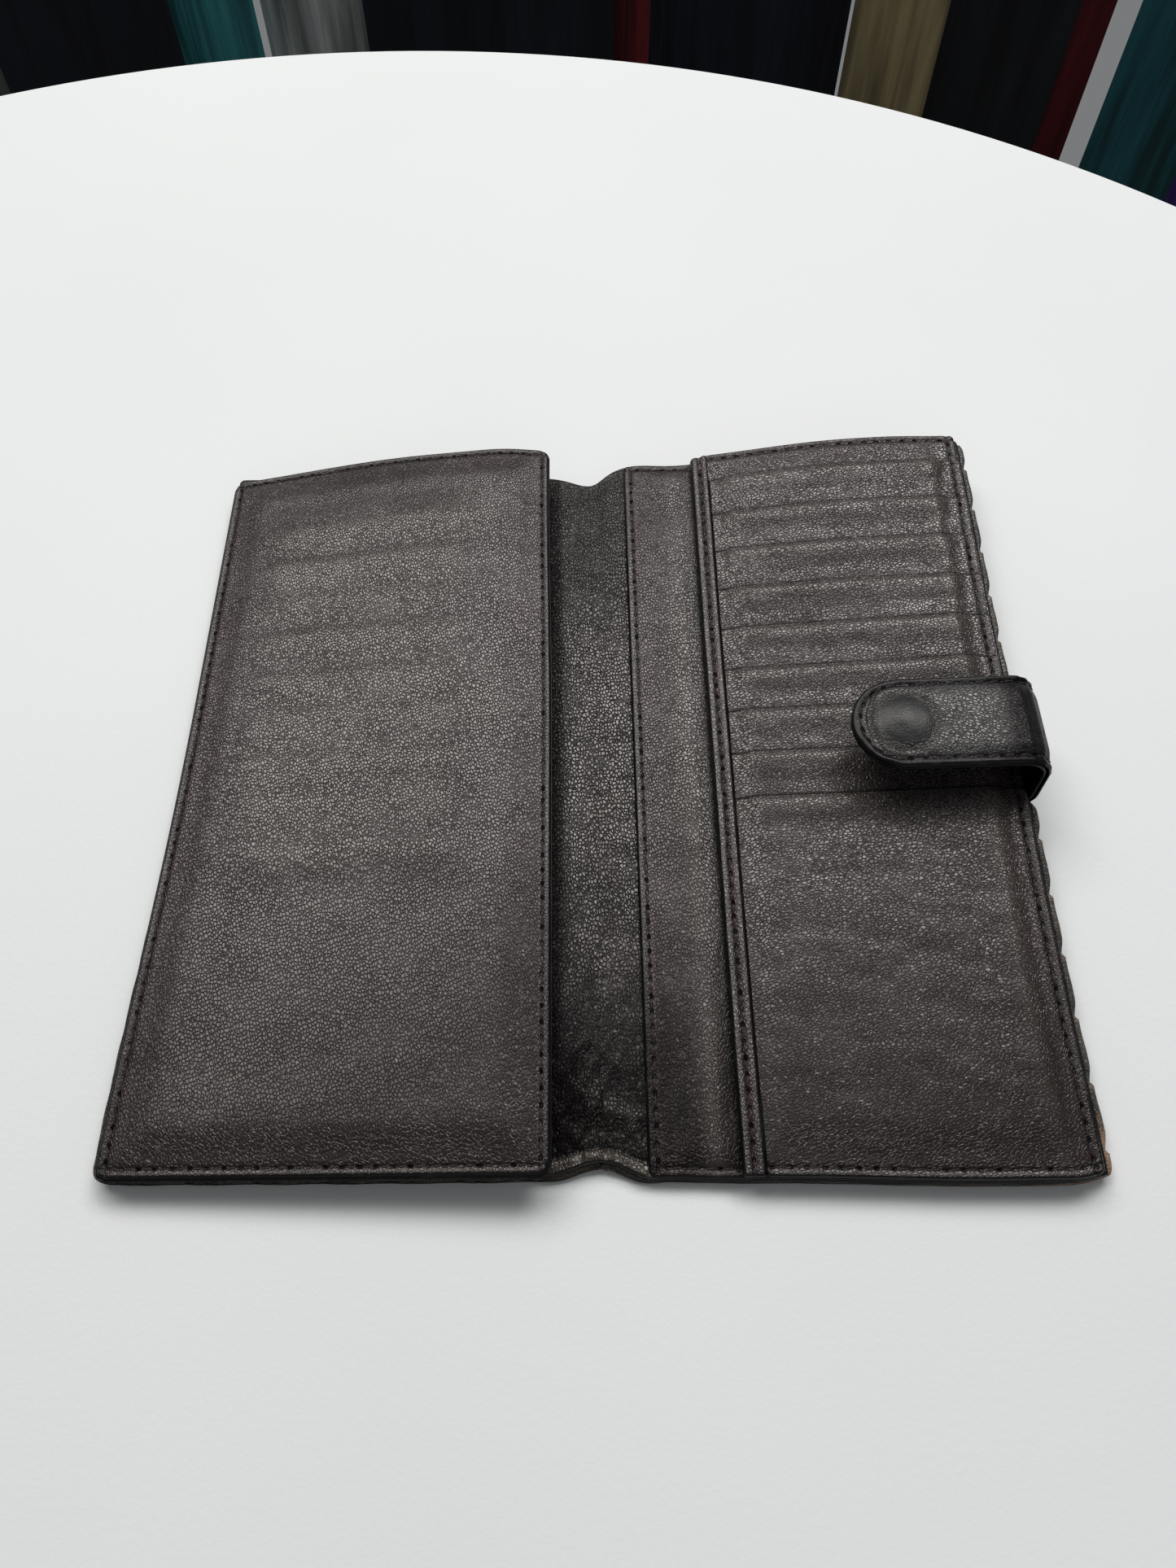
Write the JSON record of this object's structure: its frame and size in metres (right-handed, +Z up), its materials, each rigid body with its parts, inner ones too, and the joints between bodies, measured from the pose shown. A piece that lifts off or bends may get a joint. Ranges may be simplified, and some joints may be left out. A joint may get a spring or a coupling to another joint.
{
  "type": "long wallet",
  "caption": "Open long wallet in dark leather: woven cover, card slot panel, bill pocket, turning leaf and a curled closing strap with a magnet.",
  "frame": {"origin": "centre of the spine's underside, on the surface the open wallet lies on", "axes": "+X across the open wallet to the half that carries the card slots and the strap, +Y along its length, +Z up"},
  "size_m": [0.2072, 0.194, 0.0246],
  "materials": {
    "woven_leather": "satin",
    "smooth_leather": "satin",
    "lining_leather": "satin",
    "strap_leather": "satin",
    "board": "matte",
    "thread": "matte",
    "steel": "satin"
  },
  "bodies": {
    "right_half": {"right_cover": "woven_leather", "right_board": "board", "right_lining": "lining_leather", "bill_pocket_panel": "smooth_leather", "card_panel_back": "smooth_leather", "card_border_strip": "smooth_leather", "card_slot_1": "smooth_leather", "card_slot_2": "smooth_leather", "card_slot_3": "smooth_leather", "card_slot_4": "smooth_leather", "card_slot_5": "smooth_leather", "card_slot_6": "smooth_leather", "card_slot_7": "smooth_leather", "card_slot_8": "smooth_leather", "card_slot_9": "smooth_leather", "bill_pocket_seam": "thread", "border_strip_seam": "thread", "card_panel_seam": "thread", "strap_outer_root": "strap_leather", "strap_lining_root": "lining_leather"},
    "spine": {"spine_cover": "woven_leather", "spine_lining": "lining_leather"},
    "left_half": {"left_cover": "woven_leather", "left_board": "board", "left_lining": "lining_leather", "closure_keeper": "steel"},
    "leaf": {"leaf_face": "smooth_leather", "leaf_back": "lining_leather", "leaf_slot_1": "smooth_leather", "leaf_slot_2": "smooth_leather", "leaf_slot_3": "smooth_leather", "leaf_slot_4": "smooth_leather", "leaf_slot_5": "smooth_leather", "leaf_slot_6": "smooth_leather", "leaf_slot_7": "smooth_leather", "leaf_slot_8": "smooth_leather", "leaf_slot_9": "smooth_leather", "leaf_seam": "thread"},
    "strap_bend": {"strap_outer_bend": "strap_leather", "strap_lining_bend": "lining_leather"},
    "strap_tab": {"strap_outer_tab": "strap_leather", "strap_lining_tab": "lining_leather", "strap_magnet": "steel", "strap_seam": "thread"}
  },
  "joints": [
    {"name": "fold_right", "type": "hinge", "parent": "right_half", "child": "spine", "pos_m": [0.0083, 0, 0.002], "axis": [0, 1, 0], "range_deg": [0, 88]},
    {"name": "fold_left", "type": "hinge", "parent": "spine", "child": "left_half", "pos_m": [-0.0083, 0, 0.002], "axis": [0, 1, 0], "range_deg": [0, 88]},
    {"name": "leaf_turn", "type": "hinge", "parent": "left_half", "child": "leaf", "pos_m": [-0.1007, 0, 0.0033], "axis": [0, -1, 0], "range_deg": [0, 175]},
    {"name": "strap_lower_bend", "type": "hinge", "parent": "right_half", "child": "strap_bend", "pos_m": [0.10427, 0, 0.00405], "axis": [0, 1, 0], "range_deg": [0, 88]},
    {"name": "strap_upper_bend", "type": "hinge", "parent": "strap_bend", "child": "strap_tab", "pos_m": [0.10271, 0, 0.02209], "axis": [0, 1, 0], "range_deg": [0, 88]}
  ],
  "couplings": [
    {"joint": "fold_left", "follows": "fold_right", "ratio": 1},
    {"joint": "strap_lower_bend", "follows": "fold_right", "ratio": 1},
    {"joint": "strap_upper_bend", "follows": "fold_right", "ratio": 1}
  ]
}
